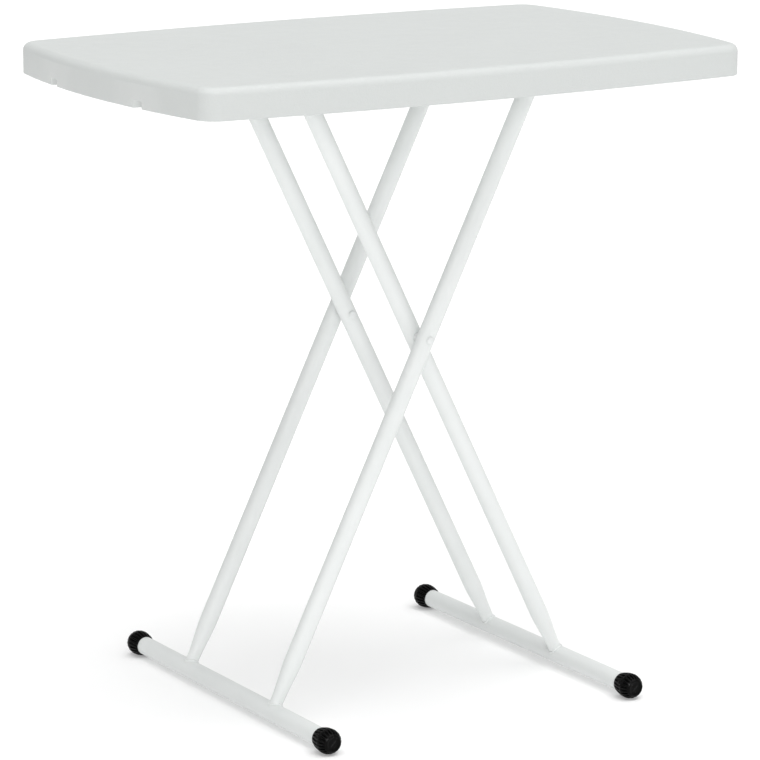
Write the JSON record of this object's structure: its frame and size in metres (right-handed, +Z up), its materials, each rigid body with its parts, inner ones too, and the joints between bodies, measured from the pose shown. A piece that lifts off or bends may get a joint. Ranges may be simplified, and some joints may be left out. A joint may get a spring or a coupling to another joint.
{
  "type": "folding table",
  "caption": "Small rectangular folding table: moulded white plastic top with bowed edges on a white tubular steel scissor frame with ribbed black foot caps.",
  "frame": {"origin": "on the floor, centred below the tabletop", "axes": "+X along the tabletop's length, towards the hinge end; +Y from the front edge to the rear edge; +Z up"},
  "size_m": [0.7598, 0.5, 0.775],
  "materials": {
    "top_plastic": "fine-grained satin, very light cool grey-white",
    "frame_paint": "white powder coat, semi-gloss",
    "cap_plastic": "black moulded polyethylene, satin",
    "fitting_plastic": "light grey moulded nylon, satin",
    "spacer_plastic": "pale grey nylon",
    "rivet_paint": "white paint over steel",
    "zinc_steel": "bright zinc plate"
  },
  "bodies": {
    "tabletop": {"tabletop": "top_plastic", "hinge_bracket_front": "fitting_plastic", "hinge_bracket_rear": "fitting_plastic", "hinge_bracket_screws": "zinc_steel", "height_rack_front": "fitting_plastic", "height_rack_rear": "fitting_plastic", "height_rack_screws": "zinc_steel"},
    "outer_frame": {"outer_cross_tube": "frame_paint", "outer_foot_bar": "frame_paint", "outer_leg_front": "frame_paint", "outer_leg_rear": "frame_paint", "outer_foot_cap_front": "cap_plastic", "outer_foot_cap_rear": "cap_plastic", "pivot_rivet_front": "rivet_paint", "pivot_rivet_rear": "rivet_paint", "pivot_spacer_front": "spacer_plastic", "pivot_spacer_rear": "spacer_plastic"},
    "inner_frame": {"inner_cross_tube": "frame_paint", "inner_foot_bar": "frame_paint", "inner_leg_front": "frame_paint", "inner_leg_rear": "frame_paint", "inner_foot_cap_front": "cap_plastic", "inner_foot_cap_rear": "cap_plastic"}
  },
  "joints": [
    {"name": "outer_hinge", "type": "hinge", "parent": "tabletop", "child": "outer_frame", "pos_m": [0.14769, 0, 0.7363], "axis": [0, -1, 0], "range_deg": [0, 24]},
    {"name": "scissor_pivot", "type": "hinge", "parent": "outer_frame", "child": "inner_frame", "pos_m": [0, 0, 0.43722], "axis": [0, 1, 0], "range_deg": [0, 48]}
  ],
  "couplings": [
    {"joint": "scissor_pivot", "follows": "outer_hinge", "ratio": 2}
  ]
}
